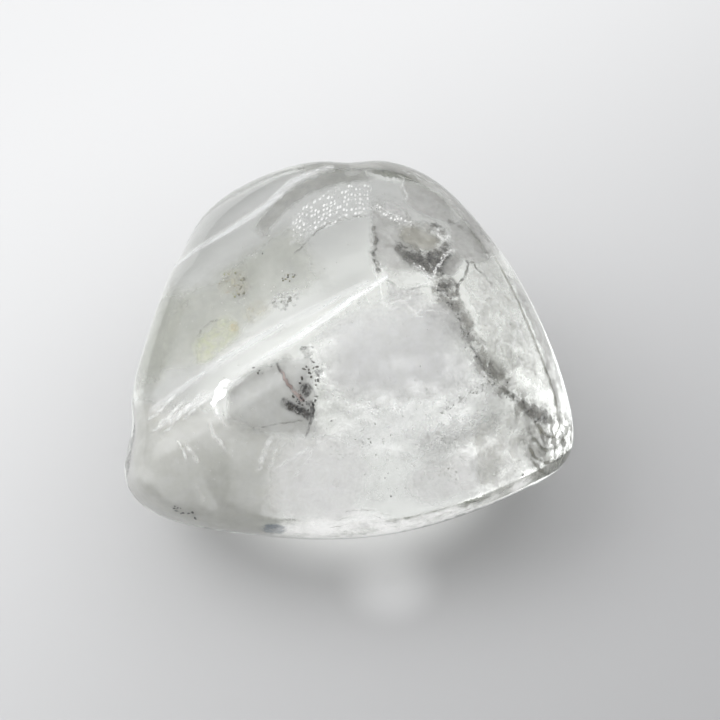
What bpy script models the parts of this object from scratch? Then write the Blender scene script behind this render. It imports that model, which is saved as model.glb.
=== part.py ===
"""A tumbled stone of clear quartz, modelled as one solid.

The stone is a broken lump worn round: broad faces that blend into one
another, two worn valleys that climb across its upper left side, a swelling
below the lower valley and a small flat spot underneath, on which it rests.
Sizes are in millimetres and are scaled by MM when the mesh is made. A
direction is an azimuth from +X and an elevation above the horizon, in degrees.
"""

import math

import bmesh
import bpy
from mathutils import Vector

MM = 0.001

# Middle of the stone above the surface that it rests on, and the height over
# which the flat spot underneath curves up into the sides.
MIDDLE_HEIGHT = 10.8
REST_BLEND = 0.35

# Quads along each side of the starting cube, and how tightly faces meet.
GRID = 28
SHARPNESS = 12.0

# Broad faces: azimuth, elevation and distance from the stone's middle.
FACES = (
    # Upper front, facing the viewer.
    (-81, 37, 13.6),
    (-23, 38, 15.0),
    (-92, -4, 16.4),
    # Top, with the shoulder behind the upper valley.
    (207, 71, 11.7),
    (28, 73, 12.0),
    (154, 52, 14.6),
    # Right side, from the front round to the back.
    (-2, -2, 18.8),
    (20, 16, 15.4),
    (33, 24, 15.8),
    (52, 34, 18.0),
    # Back.
    (90, 40, 16.6),
    (88, 0, 17.0),
    (117, 37, 16.6),
    # Left side, from the back round to the front.
    (142, 26, 19.3),
    (160, 16, 17.0),
    (172, 7, 15.2),
    (182, -4, 16.3),
    (216, -26, 18.5),
    # Underside.
    (250, -38, 15.7),
    (270, -40, 14.6),
    (299, -36, 14.7),
    (25, -38, 16.0),
    (85, -38, 15.0),
    (150, -35, 16.0),
    (0, -90, 11.3),
)

# The valleys are worn into the side that faces this way, and fade out past
# the rim, between these two cosines of the angle to it.
WORN_SIDE = (-90, 50)
RIM_FADE = (-0.45, -0.1)
END_FADE = 2.0

# Valleys: the plane that each one follows (azimuth, elevation, distance), its
# run (azimuth, elevation, start, end), and its half width and its depth at
# the start and at the end.
VALLEYS = (
    ((130, 35, 3.6), (25, 20, -19.5, 5.5), (1.7, 1.1), (0.9, 0.35)),
    ((130, 39, 12.9), (24, 19, -8.5, 9.5), (1.3, 1.1), (0.25, 0.5)),
)

# Swellings: azimuth, elevation, reach and height.
SWELLINGS = (
    (209, -8, 5.8, 2.0),
    (-24, -12, 4.0, 0.4),
    (165, 52, 6.0, 0.25),
)

# Water clear, with a faint grey green cast, and polished.
QUARTZ_COLOUR = (0.90, 0.92, 0.89, 1.0)
QUARTZ_ROUGHNESS = 0.02
QUARTZ_IOR = 1.544


def direction(azimuth, elevation):
    """Unit vector towards an azimuth and elevation in degrees."""
    turn, lift = math.radians(azimuth), math.radians(elevation)
    level = math.cos(lift)
    return Vector((level * math.cos(turn), level * math.sin(turn), math.sin(lift)))


def ease(value, start, end):
    """Smooth step from 0 at start to 1 at end."""
    t = min(max((value - start) / (end - start), 0.0), 1.0)
    return t * t * (3.0 - 2.0 * t)


def blend(pair, t):
    """Value between the two of a pair."""
    return pair[0] + (pair[1] - pair[0]) * t


def face_radius(way):
    """Distance from the middle to the blended faces along a unit vector."""
    total = 0.0
    for azimuth, elevation, distance in FACES:
        reach = way.dot(direction(azimuth, elevation)) / distance
        total += max(reach, 0.0) ** SHARPNESS
    return total ** (-1.0 / SHARPNESS)


def valley_depth(point, way):
    """How far the worn valleys sink the surface at a point."""
    depth = 0.0
    worn = ease(way.dot(direction(*WORN_SIDE)), *RIM_FADE)
    for plane, run, widths, depths in VALLEYS:
        across = point.dot(direction(*plane[:2])) - plane[2]
        along = point.dot(direction(*run[:2]))
        start, end = run[2:]
        t = min(max((along - start) / (end - start), 0.0), 1.0)
        inside = ease(along, start, start + END_FADE) * (1.0 - ease(along, end - END_FADE, end + END_FADE))
        depth += blend(depths, t) * math.exp(-(across / blend(widths, t)) ** 2) * inside * worn
    return depth


def swelling_height(point):
    """How far the swellings lift the surface at a point."""
    height = 0.0
    for azimuth, elevation, reach, lift in SWELLINGS:
        axis = direction(azimuth, elevation)
        if point.dot(axis) > 0.0:
            height += lift * math.exp(-(point.cross(axis).length / reach) ** 2)
    return height


def rest(height):
    """Height above the table, flattened where the stone rests on it."""
    if height > REST_BLEND:
        return height
    if height < -REST_BLEND:
        return 0.0
    return (height + REST_BLEND) ** 2 / (4.0 * REST_BLEND)


def surface_point(cube_point):
    """Point of the stone, in millimetres, for a point of the starting cube."""
    way = Vector([math.tan(value * math.pi / 4.0) for value in cube_point]).normalized()
    point = way * face_radius(way)
    point += way * (swelling_height(point) - valley_depth(point, way))
    return Vector((point.x, point.y, rest(point.z + MIDDLE_HEIGHT)))


def centre_over_origin(mesh):
    """Move the mesh so that its box stands centred on the origin."""
    for axis in (0, 1):
        values = [vert.co[axis] for vert in mesh.verts]
        offset = (min(values) + max(values)) / 2.0
        for vert in mesh.verts:
            vert.co[axis] -= offset


def stone_mesh():
    """Mesh of the stone: a gridded cube moved onto the worn surface."""
    mesh = bmesh.new()
    bmesh.ops.create_cube(mesh, size=2.0)
    bmesh.ops.subdivide_edges(mesh, edges=mesh.edges[:], cuts=GRID - 1, use_grid_fill=True)
    for vert in mesh.verts:
        vert.co = surface_point(vert.co) * MM
    centre_over_origin(mesh)
    bmesh.ops.recalc_face_normals(mesh, faces=mesh.faces[:])
    data = bpy.data.meshes.new("tumbled_stone")
    mesh.to_mesh(data)
    mesh.free()
    return data


def quartz_material():
    """Clear, polished quartz."""
    material = bpy.data.materials.new("clear_quartz")
    material.use_nodes = True
    shader = material.node_tree.nodes["Principled BSDF"]
    shader.inputs["Base Color"].default_value = QUARTZ_COLOUR
    shader.inputs["Metallic"].default_value = 0.0
    shader.inputs["Roughness"].default_value = QUARTZ_ROUGHNESS
    shader.inputs["IOR"].default_value = QUARTZ_IOR
    shader.inputs["Transmission Weight"].default_value = 1.0
    return material


def build_stone():
    """Add the stone to the scene."""
    data = stone_mesh()
    data.materials.append(quartz_material())
    data.shade_smooth()
    stone = bpy.data.objects.new("tumbled_stone", data)
    bpy.context.collection.objects.link(stone)
    return stone


def main():
    """Clear the scene's objects and build the stone."""
    for item in list(bpy.data.objects):
        bpy.data.objects.remove(item, do_unlink=True)
    build_stone()


main()
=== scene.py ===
"""A tumbled stone of clear quartz on pale paper, seen from the front and above.

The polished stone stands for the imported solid. Fractures, veils, bubble rows
and mineral flecks lie inside it. Lengths are in metres; the fields that end
in _mm are in millimetres, and pixels are those of the 720 by 720 view.
"""

import logging
import math
import random
from dataclasses import dataclass
from enum import Enum
from typing import Sequence, Union

import bpy
from mathutils import Euler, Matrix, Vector, noise
from mathutils.bvhtree import BVHTree
from mathutils.kdtree import KDTree


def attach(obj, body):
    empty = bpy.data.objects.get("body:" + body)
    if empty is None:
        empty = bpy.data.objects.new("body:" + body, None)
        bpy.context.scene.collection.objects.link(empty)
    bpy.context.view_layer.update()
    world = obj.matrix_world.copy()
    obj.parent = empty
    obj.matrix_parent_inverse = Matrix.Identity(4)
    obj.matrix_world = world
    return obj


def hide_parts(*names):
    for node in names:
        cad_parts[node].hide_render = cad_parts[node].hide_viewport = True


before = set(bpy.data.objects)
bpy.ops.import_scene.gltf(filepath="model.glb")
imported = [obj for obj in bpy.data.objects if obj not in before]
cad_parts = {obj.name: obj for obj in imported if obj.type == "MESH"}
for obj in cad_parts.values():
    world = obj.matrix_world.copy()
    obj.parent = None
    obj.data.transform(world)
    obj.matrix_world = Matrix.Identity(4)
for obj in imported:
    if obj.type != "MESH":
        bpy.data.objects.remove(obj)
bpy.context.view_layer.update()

MM = 0.001
VIEW_SIZE = 720
QUARTZ_IOR = 1.544
BODY = "root"
NODE = "tumbled_stone"
MIDDLE_PIXEL = (348.0, 350.0)
MIDDLE_MM = 10.8
LEAST_DEPTH_MM = 0.12
LEAST_GRAIN_DEPTH_MM = 0.15

# Cosine of the angle to the surface below which a ray only grazes the stone,
# and the least that a ray's bend is worked out for.
GRAZING = 0.12
LEAST_FACING = 0.05

# Step, in metres, to the second of two clouds of noise that differ.
OTHER_CLOUDS = (0.013, 0.007, 0.021)
WHITE_LIGHT = (1.0, 1.0, 0.99, 1.0)

# What the type hints name: a colour; a place seen in the photograph, in pixels
# from the left and from the top and the depth in millimetres at which it lies
# behind the surface; an object; a node's socket, and what one is fed with.
Colour = tuple[float, float, float, float]
Mark = tuple[float, float, float]
Item = bpy.types.Object
Socket = bpy.types.NodeSocket
Value = Union[float, tuple, Socket]
Inputs = dict[Union[str, int], Value]

log = logging.getLogger("tumbled_stone")


def deselect() -> None:
    """Deselect every object, so that an operator acts on one piece alone."""
    bpy.ops.object.select_all(action="DESELECT")


def select_only(item: Item) -> None:
    """Make one object the selected and active one.

    Args:
        item: The object.
    """
    deselect()
    item.select_set(True)
    bpy.context.view_layer.objects.active = item


def join(items: Sequence[Item]) -> Item:
    """Join objects into the first of them.

    Args:
        items: The objects.

    Returns:
        The first object.
    """
    select_only(items[0])
    if len(items) > 1:
        for item in items:
            item.select_set(True)
        bpy.ops.object.join()
    return items[0]


def direction(azimuth: float, elevation: float) -> Vector:
    """Unit vector towards an azimuth from +X and an elevation, in degrees.

    Args:
        azimuth: Degrees from +X, counterclockwise seen from above.
        elevation: Degrees above the horizon.

    Returns:
        The unit vector.
    """
    turn, lift = math.radians(azimuth), math.radians(elevation)
    level = math.cos(lift)
    return Vector((level * math.cos(turn), level * math.sin(turn), math.sin(lift)))


def ease(value: float, start: float, end: float) -> float:
    """Smooth step of a value from 0 at start to 1 at end."""
    t = min(max((value - start) / (end - start), 0.0), 1.0)
    return t * t * (3.0 - 2.0 * t)


def mid(pair: tuple[float, float], share: float) -> float:
    """Value between the two of a pair, at a share of the way from 0 to 1."""
    return pair[0] * (1.0 - share) + pair[1] * share


def along(marks: Sequence[Sequence[float]], share: float) -> tuple[float, ...]:
    """Place on a smooth line through marks.

    Args:
        marks: The marks, in order.
        share: How far along the line, from 0 to 1.

    Returns:
        The place, with as many numbers as a mark.
    """
    place = share * (len(marks) - 1)
    first = min(int(place), len(marks) - 2)
    t = place - first
    four = [marks[min(max(first + step, 0), len(marks) - 1)] for step in (-1, 0, 1, 2)]
    return tuple(
        b + 0.5 * t * (
            c - a + t * (2.0 * a - 5.0 * b + 4.0 * c - d + t * (3.0 * b - a - 3.0 * c + d))
        )
        for a, b, c, d in zip(*four)
    )


def refract(ray: Vector, normal: Vector) -> Vector:
    """Direction in which a ray goes on once it enters the quartz.

    Args:
        ray: Direction of the ray outside.
        normal: Normal of the surface.

    Returns:
        The unit vector.
    """
    ratio = 1.0 / QUARTZ_IOR
    facing = max(-normal.dot(ray), LEAST_FACING)
    bend = ratio * facing - math.sqrt(1.0 - ratio * ratio * (1.0 - facing * facing))
    return (ray * ratio + normal * bend).normalized()


class Graph:
    """Adds and joins the nodes of one material or world."""

    def __init__(self, owner: bpy.types.Material | bpy.types.World) -> None:
        """Give a material or world an empty node tree.

        Args:
            owner: The material or world.
        """
        owner.use_nodes = True
        self.tree = owner.node_tree
        self.tree.nodes.clear()

    def add(self, kind: str, inputs: Inputs | None = None, **settings) -> bpy.types.Node:
        """Add a node.

        Args:
            kind: The node's type name.
            inputs: What its sockets are set to, or linked from, by name or number.
            settings: Attributes to set on it.

        Returns:
            The node.
        """
        node = self.tree.nodes.new(kind)
        for name, value in settings.items():
            setattr(node, name, value)
        for name, value in (inputs or {}).items():
            if isinstance(value, Socket):
                self.tree.links.new(value, node.inputs[name])
            else:
                node.inputs[name].default_value = value
        return node

    def math(self, operation: str, a: Value, b: Value, clamp: bool = False) -> Socket:
        """Result of a sum of two numbers or sockets, held between 0 and 1 where it is clamped."""
        node = self.add("ShaderNodeMath", {0: a, 1: b}, operation=operation, use_clamp=clamp)
        return node.outputs[0]

    def dot(self, vector: Value, way: Sequence[float]) -> Socket:
        """Length of a vector along a direction."""
        inputs = {0: vector, 1: tuple(way)}
        return self.add("ShaderNodeVectorMath", inputs, operation="DOT_PRODUCT").outputs["Value"]

    def ramp(
        self, value: Value, start: float, end: float, low: float = 0.0, high: float = 1.0
    ) -> Socket:
        """A value eased from low, where it is at start, to high, where it is at end."""
        limits = {"Value": value, "From Min": start, "From Max": end, "To Min": low, "To Max": high}
        return self.add("ShaderNodeMapRange", limits, interpolation_type="SMOOTHSTEP").outputs[0]

    def place(self) -> Socket:
        """Place in the object's own coordinates."""
        return self.add("ShaderNodeTexCoord").outputs["Object"]

    def noise(self, place: Value, size_mm: float, detail: float = 4.0, warp: float = 0.0) -> Socket:
        """Noise around 0.5.

        Args:
            place: Socket of the place that it is worked out for.
            size_mm: Size of its clouds.
            detail: Number of finer layers in them.
            warp: How far they are twisted.

        Returns:
            The noise's socket.
        """
        inputs = {"Vector": place, "Scale": 1.0 / (size_mm * MM), "Detail": detail}
        inputs |= {"Roughness": 0.6, "Distortion": warp}
        return self.add("ShaderNodeTexNoise", inputs).outputs["Fac"]

    def blend(self, share: Value, first: Value, second: Value) -> Socket:
        """Mix of two shaders, with a share of the second."""
        return self.add("ShaderNodeMixShader", {0: share, 1: first, 2: second}).outputs[0]

    def bump(self, height: Value, depth_mm: float) -> Socket:
        """Normal of a relief, whose height of 0 to 1 stands for a depth."""
        inputs = {"Height": height, "Strength": 1.0, "Distance": depth_mm * MM}
        return self.add("ShaderNodeBump", inputs).outputs["Normal"]

    def mix(self, share: Value, a: Value, b: Value) -> Socket:
        """Mix of two colours, with a share of the second."""
        inputs = {"Factor": share, "A": a, "B": b}
        return self.add("ShaderNodeMix", inputs, data_type="RGBA").outputs["Result"]


def new_material(name: str) -> tuple[bpy.types.Material, Graph]:
    """A new material and its empty node tree."""
    material = bpy.data.materials.new(name)
    return material, Graph(material)


@dataclass(frozen=True)
class Viewpoint:
    """The camera of the photograph.

    Attributes:
        target_mm: Point that the camera looks at.
        elevation: Degrees above the horizon.
        lens: Focal length in millimetres, on a 36 mm sensor.
        distance_mm: Distance from the target.
    """

    target_mm: tuple[float, float, float] = (0.65, -1.1, 11.05)
    elevation: float = 50.0
    lens: float = 85.0
    distance_mm: float = 132.5

    def back(self) -> Vector:
        """Direction from the target to the camera."""
        return direction(-90.0, self.elevation)

    def position(self) -> Vector:
        """Place of the camera, in metres."""
        return (Vector(self.target_mm) + self.back() * self.distance_mm) * MM

    def ray(self, x: float, y: float) -> Vector:
        """Direction in which the camera sees a pixel.

        Args:
            x: Pixels from the left.
            y: Pixels from the top.

        Returns:
            The unit vector.
        """
        back = self.back()
        up = back.cross(Vector((1.0, 0.0, 0.0)))
        focal = self.lens / 36.0 * VIEW_SIZE
        half = VIEW_SIZE / 2.0
        way = Vector((x - half, 0.0, 0.0)) + up * (half - y) - back * focal
        return way.normalized()

    def build(self) -> Item:
        """Add the camera.

        Returns:
            The camera.
        """
        data = bpy.data.cameras.new("viewpoint")
        data.lens = self.lens
        data.sensor_width = 36.0
        data.clip_start = 0.005
        data.clip_end = 50.0
        camera = bpy.data.objects.new("viewpoint", data)
        bpy.context.scene.collection.objects.link(camera)
        camera.location = self.position()
        camera.rotation_euler = (math.radians(90.0 - self.elevation), 0.0, 0.0)
        bpy.context.scene.camera = camera
        return camera


@dataclass(frozen=True)
class Patch:
    """A part of the sky that differs from the rest.

    Attributes:
        way: Azimuth and elevation of its middle.
        reach: Cosines of the angles to its middle at its rim and where it is full.
        strength: Strength of the light outside it and in its middle.
    """

    way: tuple[float, float]
    reach: tuple[float, float]
    strength: tuple[float, float]

    def shade(self, graph: Graph, looking: Value) -> Socket:
        """Strength of the light by the direction that is looked in."""
        return graph.ramp(graph.dot(looking, direction(*self.way)), *self.reach, *self.strength)


@dataclass(frozen=True)
class Studio:
    """Soft daylight from the back left, and the pale paper with painted light and shade.

    Attributes:
        sky: The room, brightest at the back left.
        viewer: The dim patch behind the camera.
        curtain: The curtained side behind the stone.
        window: The window, which adds to the rest.
        walls: The walls, dim near the floor.
        tint: Colour of the daylight.
        mirrored: Azimuth and elevation of the sky that the tilted crack mirrors.
        floor_drop_mm: Gap between the paper and the stone's underside.
        floor_size: Length of the paper's sides, in metres.
        bright_paper: Tone of the open paper at the back left, where the painted shade is least.
        dim_paper: Its tone at the front right, painted shade for the light's falloff.
        lit_paper: Its painted light tone where the stone gathers light.
        dim_side: Azimuth towards which the painted shade on the paper deepens.
        dimming_mm: Places along that way where the painted shade starts and ends.
        pool_mm: Radii at which the painted pool of light under the stone starts to fade and ends.
        pool_glow: Glow of the painted pool, which is no lamp, for light gathered there.
        spot_mm: Middle of the painted lit spot in front of the stone.
        spot_reach_mm: Radii at which the painted spot starts to fade and ends.
        spot_strength: Share of the painted lit tone in the spot.
    """

    sky: Patch = Patch((150.0, 50.0), (-0.70, 0.75), (0.745, 1.165))
    viewer: Patch = Patch((-90.0, 45.0), (0.62, 0.95), (1.0, 0.88))
    curtain: Patch = Patch((112.0, 58.0), (0.80, 0.95), (1.0, 0.78))
    window: Patch = Patch((178.0, 50.0), (0.86, 0.98), (0.0, 2.2))
    walls: Patch = Patch((0.0, 90.0), (0.05, 0.45), (0.22, 1.0))
    tint: Colour = (0.985, 0.99, 1.0, 1.0)
    mirrored: tuple[float, float] = (139.0, 45.0)
    floor_drop_mm: float = 0.06
    floor_size: float = 6.0
    bright_paper: Colour = (0.76, 0.76, 0.76, 1.0)
    dim_paper: Colour = (0.385, 0.385, 0.388, 1.0)
    lit_paper: Colour = (0.95, 0.95, 0.95, 1.0)
    dim_side: float = -48.0
    dimming_mm: tuple[float, float] = (-50.0, 58.0)
    pool_mm: tuple[float, float] = (8.0, 15.0)
    pool_glow: float = 0.26
    spot_mm: tuple[float, float, float] = (3.0, -14.2, 0.0)
    spot_reach_mm: tuple[float, float] = (0.5, 4.8)
    spot_strength: float = 0.55

    def light(self) -> None:
        """Set the sky: bright behind on the left, dim behind the camera."""
        world = bpy.data.worlds.new("daylight")
        bpy.context.scene.world = world
        graph = Graph(world)
        looking = graph.add("ShaderNodeTexCoord").outputs["Generated"]
        soft = self.sky.shade(graph, looking)
        for patch in (self.viewer, self.curtain, self.walls):
            soft = graph.math("MULTIPLY", soft, patch.shade(graph, looking))
        strength = graph.math("ADD", soft, self.window.shade(graph, looking))
        sky = graph.add("ShaderNodeBackground", {"Color": self.tint, "Strength": strength})
        graph.add("ShaderNodeOutputWorld", {"Surface": sky.outputs[0]})

    def near(
        self, graph: Graph, middle_mm: Sequence[float], reach_mm: Sequence[float], most: float
    ) -> Socket:
        """Add a round patch of painted light on the paper that fades outwards.

        Args:
            graph: The paper's nodes.
            middle_mm: Middle of the patch.
            reach_mm: Radii at which it starts to fade and ends.
            most: Its strength in the middle.

        Returns:
            The strength's socket.
        """
        inputs = {0: graph.place(), 1: [value * MM for value in middle_mm]}
        gap = graph.add("ShaderNodeVectorMath", inputs, operation="DISTANCE").outputs["Value"]
        return graph.ramp(gap, reach_mm[0] * MM, reach_mm[1] * MM, most, 0.0)

    def paper(self) -> bpy.types.Material:
        """Pale paper, painted darker towards the front right, with painted light round the stone.

        Returns:
            The material.
        """
        material, graph = new_material("pale_paper")
        # Painted shade darkens the paper towards the front right; painted light makes a glowing
        # pool under the stone and a lit spot in front of it.
        start, end = (value * MM for value in self.dimming_mm)
        tone = graph.ramp(graph.dot(graph.place(), direction(self.dim_side, 0.0)), start, end)
        pool = self.near(graph, (0.0, 0.0, 0.0), self.pool_mm, 1.0)
        spot = self.near(graph, self.spot_mm, self.spot_reach_mm, self.spot_strength)
        colour = graph.mix(spot, graph.mix(tone, self.bright_paper, self.dim_paper), self.lit_paper)
        shader = graph.add("ShaderNodeBsdfPrincipled", {
            "Base Color": graph.mix(pool, colour, self.lit_paper),
            "Roughness": 0.9,
            "Specular IOR Level": 0.1,
            "Emission Color": WHITE_LIGHT,
            "Emission Strength": graph.math("MULTIPLY", pool, self.pool_glow),
        })
        graph.add("ShaderNodeOutputMaterial", {"Surface": shader.outputs[0]})
        return material

    def floor(self) -> Item:
        """Add the paper that the stone lies on.

        Returns:
            The floor.
        """
        deselect()
        height = -self.floor_drop_mm * MM
        bpy.ops.mesh.primitive_plane_add(size=self.floor_size, location=(0.0, 0.0, height))
        paper = bpy.context.active_object
        paper.name = "paper"
        paper.data.materials.append(self.paper())
        return paper


@dataclass(frozen=True)
class ClearQuartz:
    """Polished quartz, frosted where the attribute "frost" says so.

    Attributes:
        absorption: Colour that light keeps on its way through.
        density: Strength of the absorption per metre.
        groove: Direction in which the worn grooves run.
        streak_mm: Width of the streaks in the frost.
        streak_squeeze: Their width as a share of their length.
        streak_frost: Frost between the streaks and in them.
        ripple_mm: Height of the faint unevenness of the polish.
        ripple_width_mm: Width of its broad and of its fine part.
        fine: Height of its fine part, as a share of the broad one.
        chalk: Share of light that full frost scatters back.
        frost_roughness: Roughness of full frost.
    """

    absorption: Colour = (0.80, 0.84, 0.76, 1.0)
    density: float = 12.0
    groove: tuple[float, float] = (25.0, 20.0)
    streak_mm: float = 0.5
    streak_squeeze: float = 0.12
    streak_frost: tuple[float, float] = (0.45, 1.25)
    ripple_mm: float = 0.05
    ripple_width_mm: tuple[float, float] = (3.5, 0.5)
    fine: float = 0.1
    chalk: float = 0.75
    frost_roughness: float = 0.45

    def frost(self, graph: Graph) -> Socket:
        """Add the frost, drawn out along the grooves.

        Args:
            graph: The material's nodes.

        Returns:
            The socket of the frost's strength.
        """
        painted = graph.add("ShaderNodeAttribute", attribute_name="frost").outputs["Fac"]
        run = direction(*self.groove)
        side = run.cross(Vector((0.0, 0.0, 1.0))).normalized()
        place = graph.place()
        length = graph.math("MULTIPLY", graph.dot(place, run), self.streak_squeeze)
        inputs = {0: length, 1: graph.dot(place, side), 2: graph.dot(place, side.cross(run))}
        drawn = graph.add("ShaderNodeCombineXYZ", inputs).outputs[0]
        streaks = graph.ramp(graph.noise(drawn, self.streak_mm), 0.25, 0.7, *self.streak_frost)
        return graph.math("MULTIPLY", painted, streaks, clamp=True)

    def make(self) -> bpy.types.Material:
        """Make the material.

        Returns:
            The material.
        """
        material, graph = new_material("clear_quartz")
        place = graph.place()
        frost = self.frost(graph)
        broad, narrow = self.ripple_width_mm
        fine = graph.math("MULTIPLY", graph.noise(place, narrow, 2.0), self.fine)
        height = graph.math("ADD", graph.noise(place, broad, 1.0), fine)
        keep = graph.math("MULTIPLY", frost, -self.chalk)
        shader = graph.add("ShaderNodeBsdfPrincipled", {
            "Base Color": (1.0, 1.0, 1.0, 1.0),
            "Roughness": graph.math("MULTIPLY", frost, self.frost_roughness),
            "IOR": QUARTZ_IOR,
            "Transmission Weight": graph.math("ADD", keep, 1.0, clamp=True),
            "Normal": graph.bump(height, self.ripple_mm),
        })
        inputs = {"Color": self.absorption, "Density": self.density}
        absorb = graph.add("ShaderNodeVolumeAbsorption", inputs)
        inputs = {"Surface": shader.outputs[0], "Volume": absorb.outputs[0]}
        graph.add("ShaderNodeOutputMaterial", inputs)
        return material


@dataclass(frozen=True)
class Film:
    """Finish of a crack, veil or stain inside the stone, or of painted shade or painted glow.

    Attributes:
        name: Name of the material.
        colour: Colour of the film.
        other: Colour of its other patches.
        cover: Share of the light that it stops in its thick patches.
        thin: The same share between them.
        grain_mm: Size of the patches.
        shine: Share of what it stops that it mirrors.
        roughness: Roughness of the mirror.
        relief_mm: Relief of the mirror.
        fade: Share of its length and of its width over which its edges fade.
        ragged: How unevenly its edges fade.
        crisp: How sharply patches are set apart, from 0 to 0.5.
        dots: Number of round dots along and across, or none for an even film.
        glow: Share of it that glows though it is no lamp: painted light for light gathered there.
    """

    name: str
    colour: Colour = (0.9, 0.9, 0.9, 1.0)
    other: Colour = (0.8, 0.8, 0.8, 1.0)
    cover: float = 0.6
    thin: float = 0.1
    grain_mm: float = 1.0
    shine: float = 0.0
    roughness: float = 0.15
    relief_mm: float = 0.05
    fade: tuple[float, float] = (0.2, 0.4)
    ragged: float = 0.5
    crisp: float = 0.3
    dots: tuple[float, float] | None = None
    glow: float = 0.0

    def edge(self, graph: Graph, across: Value, noise: Value, fade: float) -> Socket:
        """Fade the film out towards both ends of one direction.

        Args:
            graph: The material's nodes.
            across: Socket of the share across the film, from 0 to 1.
            noise: Socket of noise that frays the edge.
            fade: Share over which it fades.

        Returns:
            The socket of what is left, from 0 to 1.
        """
        inwards = graph.math("MINIMUM", across, graph.math("SUBTRACT", 1.0, across))
        uneven = graph.math("SUBTRACT", noise, 0.5)
        fray = graph.math("MULTIPLY", uneven, self.ragged * fade * 2.0)
        return graph.ramp(graph.math("ADD", inwards, fray), 0.0, fade)

    def dotted(self, graph: Graph, shares: Sequence[Value]) -> Socket:
        """Add uneven rows of round dots.

        Args:
            graph: The material's nodes.
            shares: Sockets of the shares along the film and across it.

        Returns:
            The socket of a value that is 1 in a dot.
        """
        inputs = {
            number: graph.math("MULTIPLY", share, count)
            for number, (share, count) in enumerate(zip(shares, self.dots))
        }
        spread = graph.add("ShaderNodeCombineXYZ", inputs).outputs[0]
        inputs = {"Vector": spread, "Scale": 1.0, "Randomness": 0.45}
        cells = graph.add("ShaderNodeTexVoronoi", inputs)
        return graph.ramp(cells.outputs["Distance"], 0.25, 0.42, 1.0, 0.12)

    def make(self) -> bpy.types.Material:
        """Make the material.

        Returns:
            The material.
        """
        material, graph = new_material(self.name)
        place = graph.place()
        patches = graph.noise(place, self.grain_mm, 5.0, 0.4)
        inputs = {0: place, 1: OTHER_CLOUDS}
        shifted = graph.add("ShaderNodeVectorMath", inputs, operation="ADD").outputs[0]
        second = graph.noise(shifted, self.grain_mm * 0.8, 5.0)
        uv = graph.add("ShaderNodeTexCoord").outputs["UV"]
        shares = graph.add("ShaderNodeSeparateXYZ", {0: uv}).outputs[:2]
        length, width = (
            self.edge(graph, share, second, fade) for share, fade in zip(shares, self.fade)
        )
        body = graph.ramp(patches, self.crisp, 1.0 - self.crisp, self.thin, self.cover)
        if self.dots:
            body = graph.math("MULTIPLY", body, self.dotted(graph, shares))
        cover = graph.math("MULTIPLY", body, graph.math("MULTIPLY", length, width), clamp=True)
        colour = graph.mix(graph.ramp(second, 0.4, 0.6), self.colour, self.other)
        film = graph.add("ShaderNodeBsdfDiffuse", {"Color": colour}).outputs[0]
        if self.shine > 0.0:
            relief = graph.noise(place, self.grain_mm * 0.7, 3.0)
            mirror = graph.add("ShaderNodeBsdfAnisotropic", {
                "Color": (0.95, 0.95, 0.95, 1.0),
                "Roughness": self.roughness,
                "Normal": graph.bump(relief, self.relief_mm),
            })
            film = graph.blend(self.shine, film, mirror.outputs[0])
        # Painted light: an emission share that stands for light gathered there.
        if self.glow > 0.0:
            lit = graph.add("ShaderNodeEmission", {"Color": WHITE_LIGHT})
            film = graph.blend(self.glow, film, lit.outputs[0])
        clear = graph.add("ShaderNodeBsdfTransparent").outputs[0]
        surface = graph.blend(cover, clear, film)
        graph.add("ShaderNodeOutputMaterial", {"Surface": surface})
        return material


@dataclass(frozen=True)
class Mineral:
    """Finish of small solid grains.

    Attributes:
        name: Name of the material.
        colour: Colour of the grains.
        other: Colour of some of them.
        roughness: Roughness of their faces.
        patch_mm: Size of the places where one colour holds.
    """

    name: str
    colour: Colour
    other: Colour
    roughness: float = 0.35
    patch_mm: float = 0.9

    def make(self) -> bpy.types.Material:
        """Make the material.

        Returns:
            The material.
        """
        material, graph = new_material(self.name)
        change = graph.ramp(graph.noise(graph.place(), self.patch_mm), 0.42, 0.58)
        colour = graph.mix(change, self.colour, self.other)
        inputs = {"Base Color": colour, "Roughness": self.roughness}
        shader = graph.add("ShaderNodeBsdfPrincipled", inputs).outputs[0]
        graph.add("ShaderNodeOutputMaterial", {"Surface": shader})
        return material


@dataclass(frozen=True)
class Stroke:
    """A frosted streak on the stone's surface.

    Attributes:
        marks: Pixels along its middle.
        width_mm: Half width at its start and at its end.
        strength: Frost at its start and at its end, from 0 to 1.
        soft: Share of the half width over which it fades.
    """

    marks: tuple[tuple[float, float], ...]
    width_mm: tuple[float, float]
    strength: tuple[float, float]
    soft: float = 0.6


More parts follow.
